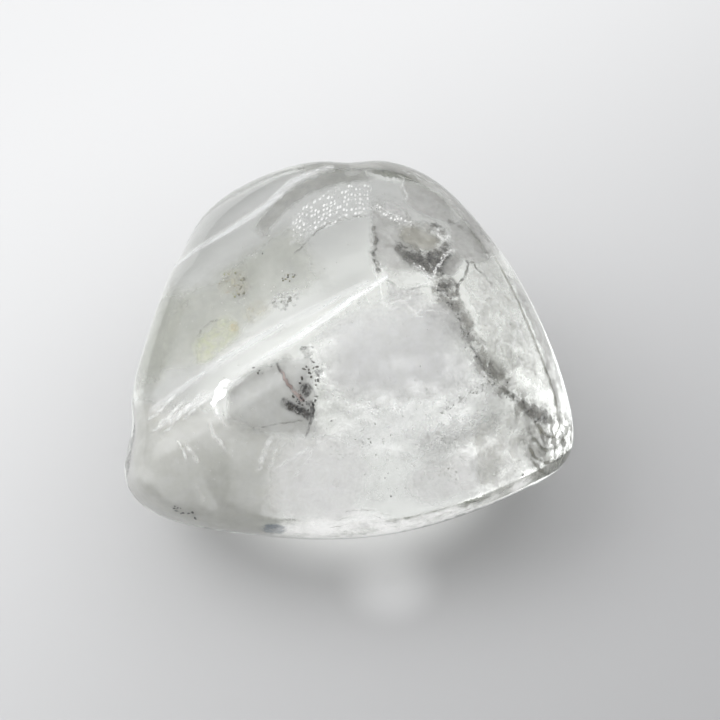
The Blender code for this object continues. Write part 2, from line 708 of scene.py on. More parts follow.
@dataclass
class Stone:
    """The polished stone.

    Attributes:
        view: The camera, which the frosted streaks are placed from.
        weld: Gap, in metres, up to which points are merged.
        flatness: Degrees up to which two triangles make one quad.
        levels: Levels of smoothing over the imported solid.
        steps: Points that a streak's line is cut into.
        piece: The finished object, once it is built.
        surface: Tree for rays, once it is built.
    """

    view: Viewpoint
    weld: float = 1e-6
    flatness: float = 60.0
    levels: int = 2
    steps: int = 160
    piece: Item | None = None
    surface: BVHTree | None = None

    def build(self) -> Item:
        """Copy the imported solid, smooth it and dress it.

        Returns:
            The stone.
        """
        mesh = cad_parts[NODE].data.copy()
        stone = bpy.data.objects.new("polished_stone", mesh)
        bpy.context.scene.collection.objects.link(stone)
        select_only(stone)
        bpy.ops.object.mode_set(mode="EDIT")
        bpy.ops.mesh.select_all(action="SELECT")
        bpy.ops.mesh.remove_doubles(threshold=self.weld)
        limit = math.radians(self.flatness)
        bpy.ops.mesh.tris_convert_to_quads(face_threshold=limit, shape_threshold=limit)
        bpy.ops.mesh.normals_make_consistent(inside=False)
        bpy.ops.object.mode_set(mode="OBJECT")
        smooth = stone.modifiers.new("smooth", "SUBSURF")
        smooth.levels = self.levels
        smooth.render_levels = self.levels
        bpy.ops.object.modifier_apply(modifier="smooth")
        bpy.ops.object.shade_smooth()
        self.piece = stone
        self.surface = BVHTree.FromObject(stone, bpy.context.evaluated_depsgraph_get())
        self.paint_frost()
        mesh.materials.clear()
        mesh.materials.append(ClearQuartz().make())
        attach(stone, BODY)
        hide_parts(NODE)
        return stone

    def paint_frost(self) -> None:
        """Write how frosted each point of the surface is."""
        mesh = self.piece.data
        frost = [0.0] * len(mesh.vertices)
        tree = KDTree(len(mesh.vertices))
        for vert in mesh.vertices:
            tree.insert(vert.co, vert.index)
        tree.balance()
        start = self.view.position()
        for stroke in FROST:
            for step in range(self.steps + 1):
                share = step / self.steps
                ray = self.view.ray(*along(stroke.marks, share))
                point = self.surface.ray_cast(start, ray)[0]
                if point is None:
                    continue
                reach = mid(stroke.width_mm, share) * MM
                most = mid(stroke.strength, share)
                for _, index, distance in tree.find_range(point, reach):
                    value = most * (1.0 - ease(distance / reach, 1.0 - stroke.soft, 1.0))
                    frost[index] = max(frost[index], value)
        mesh.attributes.new("frost", "FLOAT", "POINT").data.foreach_set("value", frost)


@dataclass(frozen=True)
class Inside:
    """Finds places inside the stone as the camera sees them through its surface.

    Attributes:
        view: The camera.
        surface: Tree of the stone's surface.
        step_in: Share of the way to the middle by which a pixel beside it is moved.
        halvings: Times that the last of these steps is halved.
        crossing: Share of the way to the far side past which nothing lies.
        nudge: Distance, in metres, by which a ray starts off the surface.
        proud_mm: How far a film on the surface stands proud of it.
        passes: Rounds in which a way out of the stone is found.
        slant: Least cosine of the angle between a ray and a mirror's normal.
    """

    view: Viewpoint
    surface: BVHTree
    step_in: float = 0.02
    halvings: int = 7
    crossing: float = 0.9
    nudge: float = 1e-5
    proud_mm: float = 0.01
    passes: int = 4
    slant: float = 0.1

    def look(self, x: float, y: float, inwards: float) -> tuple[Vector, Vector, Vector] | None:
        """Look at a pixel that is first moved towards the middle of the stone.

        Args:
            x: Pixels from the left.
            y: Pixels from the top.
            inwards: Share of the way to the middle.

        Returns:
            The place that is seen, its normal and the ray, or None beside the stone.
        """
        over, down = MIDDLE_PIXEL
        ray = self.view.ray(x + (over - x) * inwards, y + (down - y) * inwards)
        place, normal = self.surface.ray_cast(self.view.position(), ray)[:2]
        return None if place is None or normal.dot(ray) > -GRAZING else (place, normal, ray)

    def entry(self, x: float, y: float) -> tuple[Vector, Vector]:
        """Where a pixel's ray enters the stone, and how it goes on in there.

        Args:
            x: Pixels from the left.
            y: Pixels from the top.

        Returns:
            The place and the direction. A pixel beside the stone is moved in.
        """
        beside, within, seen = 0.0, 0.0, self.look(x, y, 0.0)
        while seen is None:
            beside, within = within, within + self.step_in
            seen = self.look(x, y, within)
        for _ in range(self.halvings if within > 0.0 else 0):
            between = (beside + within) / 2.0
            closer = self.look(x, y, between)
            if closer is None:
                beside = between
            else:
                within, seen = between, closer
        place, normal, ray = seen
        return place, refract(ray, normal)

    def point(self, mark: Mark) -> Vector:
        """Place of a mark inside the stone.

        Args:
            mark: The mark.

        Returns:
            The place, never closer to the far side than a tenth of the way.
        """
        place, way = self.entry(mark[0], mark[1])
        far = self.surface.ray_cast(place + way * self.nudge, way)[0]
        room = (far - place).length if far is not None else 0.0
        return place + way * min(mark[2] * MM, room * self.crossing)

    def flank(self, mark: Mark) -> Vector:
        """Place behind the surface in a direction from the stone's middle.

        Args:
            mark: Azimuth and elevation in degrees, and the depth in millimetres.

        Returns:
            The place.
        """
        middle = Vector((0.0, 0.0, MIDDLE_MM)) * MM
        place, normal = self.surface.ray_cast(middle, direction(*mark[:2]))[:2]
        return place - normal * mark[2] * MM

    def on_surface(self, mark: Mark) -> Vector:
        """Place of a mark on the stone's surface.

        Args:
            mark: The mark.

        Returns:
            The place, a little proud of the surface.
        """
        place = self.entry(mark[0], mark[1])[0]
        normal = self.surface.find_nearest(place)[1]
        return place + normal * self.proud_mm * MM

    def mirror(self, mark: Mark, light: tuple[float, float]) -> tuple[Vector, Vector]:
        """Plane through a mark that mirrors a light into the camera.

        Args:
            mark: The mark.
            light: Azimuth and elevation of the light outside.

        Returns:
            A point of the plane and its normal.
        """
        middle = self.point(mark)
        way = self.entry(mark[0], mark[1])[1]
        return middle, (self.towards(middle, direction(*light)) - way).normalized()

    def on_plane(self, mark: Mark, plane: tuple[Vector, Vector], wave_mm: float) -> Vector:
        """Place where a pixel's ray meets a plane inside the stone.

        Args:
            mark: The mark, whose depth is left aside.
            plane: A point of the plane and its normal.
            wave_mm: How far behind the plane the place lies.

        Returns:
            The place.
        """
        place, way = self.entry(mark[0], mark[1])
        depth = (plane[0] - place).dot(plane[1]) / min(way.dot(plane[1]), -self.slant)
        return self.point((mark[0], mark[1], max(depth / MM + wave_mm, LEAST_DEPTH_MM)))

    def towards(self, place: Vector, outside: Vector) -> Vector:
        """Direction inside the stone that leads out to a direction outside.

        Args:
            place: Place inside the stone.
            outside: The direction outside.

        Returns:
            The direction inside.
        """
        way = outside
        for _ in range(self.passes):
            normal = self.surface.ray_cast(place, way)[1]
            if normal is None:
                break
            way = -refract(-outside, normal)
        return way


class Lie(Enum):
    """How a sheet lies, and so what the numbers of its marks give."""

    DEPTH = "at a depth behind the surface"
    FLANK = "at an azimuth, elevation and depth seen from the stone's middle"
    SURFACE = "on the surface"
    MIRROR = "flat, so that it mirrors the bright sky"


@dataclass(frozen=True)
class Sheet:
    """A curved sheet between two lines of marks.

    Attributes:
        upper: Marks along one edge.
        lower: Marks along the other edge.
        wave_mm: How far it waves in depth.
        grid: Faces along it and across it.
        lie: How it lies.
    """

    upper: tuple[Mark, ...]
    lower: tuple[Mark, ...]
    wave_mm: float = 0.3
    grid: tuple[int, int] = (24, 10)
    lie: Lie = Lie.DEPTH

    def mark(self, u: float, v: float) -> Mark:
        """Mark of a place on the sheet, from its shares along and across."""
        return tuple(a + (b - a) * v for a, b in zip(along(self.upper, u), along(self.lower, u)))


@dataclass(frozen=True)
class Ribbon:
    """A narrow strip along a line of marks.

    Attributes:
        marks: Marks along its middle.
        width_px: Width at its start and at its end, in pixels.
        lean_mm: How much deeper one edge lies than the other.
        wave_mm: How far it waves in depth.
        grid: Faces along it and across it.
        lie: How it lies.
        jag_px: How far it strays sideways.
    """

    marks: tuple[Mark, ...]
    width_px: tuple[float, float] = (2.0, 2.0)
    lean_mm: float = 0.3
    wave_mm: float = 0.1
    grid: tuple[int, int] = (36, 4)
    lie: Lie = Lie.DEPTH
    jag_px: float = 2.0

    def mark(self, u: float, v: float) -> Mark:
        """Mark of a place on the strip.

        Args:
            u: Share along it.
            v: Share across it.

        Returns:
            The mark.
        """
        ahead = along(self.marks, min(u + 0.01, 1.0))
        behind = along(self.marks, max(u - 0.01, 0.0))
        x, y, depth = along(self.marks, u)
        way = Vector((ahead[0] - behind[0], ahead[1] - behind[1])).normalized()
        offset = mid(self.width_px, u) * (v - 0.5)
        offset += self.jag_px * noise.noise(Vector((x / 5.0, y / 5.0, 0.7)))
        return (x - way.y * offset, y + way.x * offset, depth + self.lean_mm * (v - 0.5))


@dataclass(frozen=True)
class Blot:
    """An oval sheet round one mark.

    Attributes:
        middle: The mark.
        size_px: Length and width in pixels.
        turn: Degrees that its length is turned clockwise from the right.
        lean_mm: How much deeper one end lies than the other.
        wave_mm: How far it waves in depth.
        grid: Faces along it and across it.
        lie: How it lies.
    """

    middle: Mark
    size_px: tuple[float, float]
    turn: float = 0.0
    lean_mm: float = 0.6
    wave_mm: float = 0.15
    grid: tuple[int, int] = (16, 16)
    lie: Lie = Lie.DEPTH

    def mark(self, u: float, v: float) -> Mark:
        """Mark of a place on the oval.

        Args:
            u: Share along it.
            v: Share across it.

        Returns:
            The mark.
        """
        turn = math.radians(self.turn)
        over, down = 2.0 * u - 1.0, 2.0 * v - 1.0
        x = 0.5 * over * math.sqrt(1.0 - down * down / 2.0) * self.size_px[0]
        y = 0.5 * down * math.sqrt(1.0 - over * over / 2.0) * self.size_px[1]
        return (
            self.middle[0] + x * math.cos(turn) - y * math.sin(turn),
            self.middle[1] + x * math.sin(turn) + y * math.cos(turn),
            self.middle[2] + self.lean_mm * (u - 0.5),
        )


Shape = Union[Sheet, Ribbon, Blot]


def trail(depth: float, *pixels: float) -> tuple[Mark, ...]:
    """Marks at one depth, from the pixels from the left and from the top of each in turn."""
    return tuple((x, y, depth) for x, y in zip(pixels[::2], pixels[1::2]))


def strips(*rows: Sequence, jag_px: float = 2.0) -> tuple[Ribbon, ...]:
    """Strips on the surface, each from its widths and the pixels along it."""
    return tuple(
        Ribbon(trail(0, *pixels), width, lie=Lie.SURFACE, jag_px=jag_px) for width, *pixels in rows
    )


@dataclass(frozen=True)
class Feature:
    """One crack, veil or stain, made of sheets of one finish.

    Attributes:
        name: Name of its piece.
        finish: Finish of the sheets.
        shapes: The sheets.
    """

    name: str
    finish: Film
    shapes: tuple[Shape, ...]

    def sheet(self, inside: Inside, shape: Shape) -> Item:
        """Add one sheet: a grid bent into its place in the stone.

        Args:
            inside: Finder of places in the stone.
            shape: The sheet's shape.

        Returns:
            The sheet.
        """
        deselect()
        faces = dict(zip(("x_subdivisions", "y_subdivisions"), shape.grid))
        bpy.ops.mesh.primitive_grid_add(size=1.0, **faces)
        item = bpy.context.active_object
        mirror = None
        if shape.lie is Lie.MIRROR:
            mirror = inside.mirror(shape.mark(0.5, 0.5), Studio().mirrored)
        for vert in item.data.vertices:
            x, y, depth = shape.mark(vert.co.x + 0.5, vert.co.y + 0.5)
            wave = self.wave(x, y, depth) * shape.wave_mm
            mark = (x, y, max(depth + wave, LEAST_DEPTH_MM))
            if mirror:
                vert.co = inside.on_plane(mark, mirror, wave)
            elif shape.lie is Lie.FLANK:
                vert.co = inside.flank(mark)
            elif shape.lie is Lie.SURFACE:
                vert.co = inside.on_surface(mark)
            else:
                vert.co = inside.point(mark)
        bpy.ops.object.shade_smooth()
        return item

    def wave(self, x: float, y: float, depth: float) -> float:
        """Height of the waves at a mark: broad ones, and finer ones on them.

        Args:
            x: Pixels from the left.
            y: Pixels from the top.
            depth: Depth in millimetres.

        Returns:
            The height, from about -1 to 1.
        """
        broad = noise.noise(Vector((x / 14.0, y / 14.0, depth)))
        return broad + 0.4 * noise.noise(Vector((x / 4.0, y / 4.0, depth)))

    def build(self, inside: Inside) -> Item:
        """Build the feature as one piece.

        Args:
            inside: Finder of places in the stone.

        Returns:
            The piece.
        """
        sheets = [self.sheet(inside, shape) for shape in self.shapes]
        return finish_piece(join(sheets), self.name, self.finish.make())


@dataclass(frozen=True)
class Glint:
    """A jagged flake of crack that mirrors the window.

    Attributes:
        middle: The mark of its middle.
        size_mm: Its length and width.
        turn: Degrees that its length is turned clockwise from the right.
        seed: Start of the random draws.
        corners: Corners round its outline.
    """

    middle: Mark
    size_mm: tuple[float, float]
    turn: float = 0.0
    seed: int = 1
    corners: int = 13

    def outline(self, inside: Inside) -> list[Vector]:
        """Corners of the flake, turned so that it mirrors the window.

        Args:
            inside: Finder of places in the stone.

        Returns:
            The middle and the corners.
        """
        middle, normal = inside.mirror(self.middle, Studio().window.way)
        across = Vector((1.0, 0.0, 0.0))
        across = (across - normal * across.dot(normal)).normalized()
        up = normal.cross(across)
        draw = random.Random(self.seed)
        turn = math.radians(-self.turn)
        points = [middle]
        for corner in range(self.corners):
            angle = 2.0 * math.pi * corner / self.corners
            reach = draw.uniform(0.45, 1.0) * MM / 2.0
            x = math.cos(angle) * self.size_mm[0] * reach
            y = math.sin(angle) * self.size_mm[1] * reach
            over = x * math.cos(turn) - y * math.sin(turn)
            points.append(middle + across * over + up * (x * math.sin(turn) + y * math.cos(turn)))
        return points


@dataclass(frozen=True)
class Glints:
    """Flakes that flash white, joined into one piece.

    Attributes:
        name: Name of their piece.
        finish: Finish of the flakes.
        flakes: The flakes.
    """

    name: str
    finish: Film
    flakes: tuple[Glint, ...]

    def build(self, inside: Inside) -> Item:
        """Build the flakes: a filled circle, reshaped for each.

        Args:
            inside: Finder of places in the stone.

        Returns:
            The piece.
        """
        items = []
        for flake in self.flakes:
            deselect()
            bpy.ops.mesh.primitive_circle_add(vertices=flake.corners, fill_type="TRIFAN")
            item = bpy.context.active_object
            hub_first = sorted(item.data.vertices, key=lambda vert: vert.co.length > 0.5)
            for vert, point in zip(hub_first, flake.outline(inside)):
                vert.co = point
            items.append(item)
        return finish_piece(join(items), self.name, self.finish.make())


class Layout(Enum):
    """How grains are laid out on their shape."""

    SCATTER = "scatter"
    LINE = "line"


@dataclass(frozen=True)
class Grains:
    """Small grains or bubbles, joined into one piece.

    Attributes:
        name: Name of their piece.
        finish: Finish of the grains.
        shapes: Shapes that they lie on, each with its number of grains.
        size_mm: Smallest and largest size.
        stretch: Longest shape of a grain, in widths.
        layout: How they are laid out.
        depth_mm: How far they lie before and behind the shape.
        seed: Start of the random draws.
    """

    name: str
    finish: Mineral
    shapes: tuple[tuple[Shape, int], ...]
    size_mm: tuple[float, float] = (0.08, 0.2)
    stretch: float = 1.6
    layout: Layout = Layout.SCATTER
    depth_mm: float = 0.4
    seed: int = 1

    def places(self, draw: random.Random) -> list[Mark]:
        """Marks of the grains.

        Args:
            draw: The random draws.

        Returns:
            The marks.
        """
        marks = []
        for shape, count in self.shapes:
            for index in range(count):
                u, v = draw.random(), draw.random()
                if self.layout is Layout.LINE:
                    u = (index + 0.5 + draw.uniform(-0.3, 0.3)) / count
                x, y, depth = shape.mark(min(u, 1.0), min(v, 1.0))
                depth += draw.uniform(-1.0, 1.0) * self.depth_mm
                marks.append((x, y, max(depth, LEAST_GRAIN_DEPTH_MM)))
        return marks

    def build(self, inside: Inside) -> Item:
        """Build the grains: one faceted grain, copied to every place.

        Args:
            inside: Finder of places in the stone.

        Returns:
            The piece.
        """
        draw = random.Random(self.seed)
        deselect()
        bpy.ops.mesh.primitive_ico_sphere_add(subdivisions=1, radius=0.5)
        item = bpy.context.active_object
        corners = [vert.co.copy() for vert in item.data.vertices]
        faces = [tuple(face.vertices) for face in item.data.polygons]
        points: list[Vector] = []
        sides: list[tuple[int, ...]] = []
        for mark in self.places(draw):
            middle = inside.point(mark)
            size = draw.uniform(*self.size_mm) * MM
            turn = Euler([draw.uniform(0.0, 6.28) for _ in range(3)]).to_matrix()
            shape = Vector((draw.uniform(1.0, self.stretch), 1.0, draw.uniform(0.6, 1.0))) * size
            start = len(points)
            for corner in corners:
                rough = corner * draw.uniform(0.8, 1.1)
                points.append(middle + turn @ (rough * shape))
            sides += [tuple(start + number for number in face) for face in faces]
        item.data.clear_geometry()
        item.data.from_pydata(points, [], sides)
        item.data.update()
        return finish_piece(item, self.name, self.finish.make())


def finish_piece(item: Item, name: str, material: bpy.types.Material) -> Item:
    """Name a piece inside the stone, dress it and tie it to the stone.

    Args:
        item: The piece.
        name: Its name.
        material: Its material.

    Returns:
        The piece.
    """
    item.name = name
    item.data.name = name
    item.data.materials.clear()
    item.data.materials.append(material)
    item.location = (0.0, 0.0, 0.0)
    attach(item, BODY)
    return item


# Frosted streaks, from the lower groove's white flank up to the top one.
FROST = (
    Stroke(((386, 277), (350, 301), (320, 322), (290, 343), (262, 360), (238, 376)), (0.25, 0.7),
           (0.9, 0.15)),
    Stroke(((368, 282), (330, 301), (290, 321), (250, 343), (210, 368)), (0.3, 0.6), (0.3, 0.35)),
    Stroke(((240, 380), (202, 400), (160, 426)), (0.5, 0.3), (0.45, 0.35)),
    Stroke(((210, 368), (185, 386), (150, 412)), (0.3, 0.3), (0.4, 0.3)),
    Stroke(((172, 268), (200, 247), (240, 223), (270, 202), (296, 179), (330, 167)), (0.55, 0.5),
           (0.4, 0.55))
)

MILK = Film("milky_veil", (0.985, 0.985, 0.98, 1), (0.955, 0.955, 0.94, 1), 0.98, 0.84, 1.2,
            fade=(0.28, 0.34), crisp=0.25)
SILVER = Film("tilted_crack", (0.985, 0.985, 0.98, 1), (0.955, 0.955, 0.94, 1), 1.0, 0.85, 1.5, 0.9,
              0.25, 0.02, fade=(0.14, 0.16), crisp=0.25)
# Pale clouds, three tenths of whose light is a painted glow.
PALE_AND_GLOW = Film("pale_cloud_painted_glow", (0.985, 0.985, 0.98, 1), (0.955, 0.955, 0.94, 1), 0.97, 0.6, 1.2,
            fade=(0.28, 0.34), crisp=0.25, glow=0.3)
SPECKLED = Film("speckled_white", (0.98, 0.98, 0.97, 1), (0.92, 0.92, 0.9, 1), 0.7, 0.1, 0.9,
                fade=(0.25, 0.25), crisp=0.34)
VEIL = Film("thin_veil", (0.97, 0.97, 0.96, 1), (0.88, 0.88, 0.85, 1), 0.36, 0.03, 1.1,
            fade=(0.2, 0.2), crisp=0.2)
SNOW = Film("snowy_crack", (0.98, 0.98, 0.95, 1), (0.9, 0.9, 0.85, 1), 0.75, 0.15, 1.0,
            fade=(0.15, 0.15), crisp=0.3)
HAZE = Film("even_haze", (0.87, 0.87, 0.83, 1), (0.82, 0.82, 0.77, 1), 0.92, 0.78, 1.4,
            fade=(0.2, 0.1), crisp=0.2)
LENS = Film("grey_lens_haze", (0.64, 0.64, 0.62, 1), (0.61, 0.61, 0.58, 1), 0.9, 0.75, 1.2,
            fade=(0.16, 0.18), crisp=0.2)
OLIVE = Film("olive_haze", (0.62, 0.63, 0.55, 1), (0.69, 0.7, 0.62, 1), 0.62, 0.42, 2.4,
             fade=(0.3, 0.3), crisp=0.15)
# Grey facets, and grey strips that are painted shade along the right rim.
GREY_AND_RIM_SHADE = Film("grey_facet_and_rim_shade", (0.66, 0.65, 0.63, 1), (0.68, 0.68, 0.65, 1), 0.88, 0.5, 1.0,
            fade=(0.25, 0.25), crisp=0.32)
MURK = Film("murky_haze", (0.38, 0.37, 0.34, 1), (0.6, 0.59, 0.55, 1), 0.92, 0.12, 0.8,
            fade=(0.12, 0.4), crisp=0.38)
BROWN = Film("olive_brown_lens", (0.6, 0.58, 0.5, 1), (0.68, 0.66, 0.58, 1), 0.8, 0.6, 1.2,
             fade=(0.2, 0.3))
DARK = Film("dark_crack", (0.1, 0.1, 0.09, 1), (0.3, 0.29, 0.26, 1), 0.92, 0.15, 0.5,
            fade=(0.12, 0.35), crisp=0.38)
SEAM = Film("dark_seam", (0.35, 0.35, 0.31, 1), (0.52, 0.51, 0.47, 1), 0.7, 0.1, 0.7,
            fade=(0.15, 0.5), crisp=0.38)
# Painted shade: dark grey sheets that darken the rims.
PAINTED_RIM_SHADE = Film("painted_rim_shade", (0.44, 0.44, 0.41, 1), (0.53, 0.53, 0.49, 1), 0.85, 0.6, 1.5,
              fade=(0.12, 0.3), crisp=0.2)
BLACK = Film("black_flake", (0.03, 0.03, 0.03, 1), (0.12, 0.11, 0.1, 1), 0.95, 0.3, 0.35,
             fade=(0.15, 0.3), crisp=0.4)
RUST = Film("red_brown_stain", (0.62, 0.46, 0.42, 1), (0.5, 0.36, 0.32, 1), 0.8, 0.4, 0.5,
            fade=(0.25, 0.4))
HONEY = Film("honey_stain", (0.8, 0.77, 0.58, 1), (0.7, 0.63, 0.46, 1), 0.45, 0.0, 0.6,
             fade=(0.3, 0.3))
LIME = Film("green_yellow_stain", (0.8, 0.84, 0.56, 1), (0.86, 0.87, 0.68, 1), 0.75, 0.3, 0.9,
            fade=(0.2, 0.3))
AMBER = Film("orange_stain", (0.86, 0.68, 0.34, 1), (0.8, 0.7, 0.42, 1), 0.7, 0.3, 0.8,
             fade=(0.4, 0.4))
WHITE = Film("white_line", (0.99, 0.99, 0.98, 1), (0.93, 0.93, 0.91, 1), 0.98, 0.45, 0.6,
             fade=(0.2, 0.4), crisp=0.36)
ARC = Film("soft_white_arc", (0.99, 0.99, 0.98, 1), (0.95, 0.95, 0.93, 1), 0.65, 0.15, 0.6,
           fade=(0.35, 0.5), crisp=0.36)
BEADS = Film("bead_rows", (0.99, 0.99, 0.98, 1), (0.95, 0.95, 0.93, 1), 0.98, 0.6, 1.0,
             fade=(0.05, 0.1), dots=(18, 2))
NET = Film("dotted_net", (0.99, 0.99, 0.98, 1), (0.95, 0.95, 0.93, 1), 0.8, 0.35, 2.0,
           fade=(0.1, 0.15), dots=(24, 9))
EDGE = Film("white_edge", (0.99, 0.99, 0.98, 1), (0.93, 0.93, 0.91, 1), 0.72, 0.2, 0.6,
            fade=(0.2, 0.5), crisp=0.34)
BAND = Film("dark_band", (0.17, 0.17, 0.155, 1), (0.38, 0.37, 0.34, 1), 0.88, 0.12, 0.5,
            fade=(0.12, 0.4), crisp=0.36)
FLANK = Film("flank_veil", (0.93, 0.93, 0.91, 1), (0.84, 0.84, 0.81, 1), 0.75, 0.35, 2.0,
             fade=(0.12, 0.4), ragged=0.9, crisp=0.25)
# Painted light: white sheets that mostly glow, for the caustic along the bottom rim.
CAUSTIC_GLOW = Film("painted_caustic_glow", (0.98, 0.98, 0.97, 1), (0.9, 0.9, 0.88, 1), 1.0, 0.6, 0.9,
              fade=(0.3, 0.4), crisp=0.3, glow=0.8)
SWIRL = Film("swirl_shadow", (0.26, 0.26, 0.21, 1), (0.46, 0.45, 0.38, 1), 0.9, 0.55, 0.8,
             fade=(0.15, 0.5), crisp=0.3)
FLASH = Film("flashing_flake", (0.98, 0.98, 0.97, 1), (0.95, 0.95, 0.93, 1), 1.0, 0.8, 0.5, 0.9,
             0.25, 0.02, fade=(0.01, 0.01))
BLUE = Film("blue_grey_spot", (0.2, 0.26, 0.34, 1), (0.42, 0.47, 0.52, 1), 0.95, 0.5, 0.6,
            fade=(0.3, 0.3), crisp=0.36)

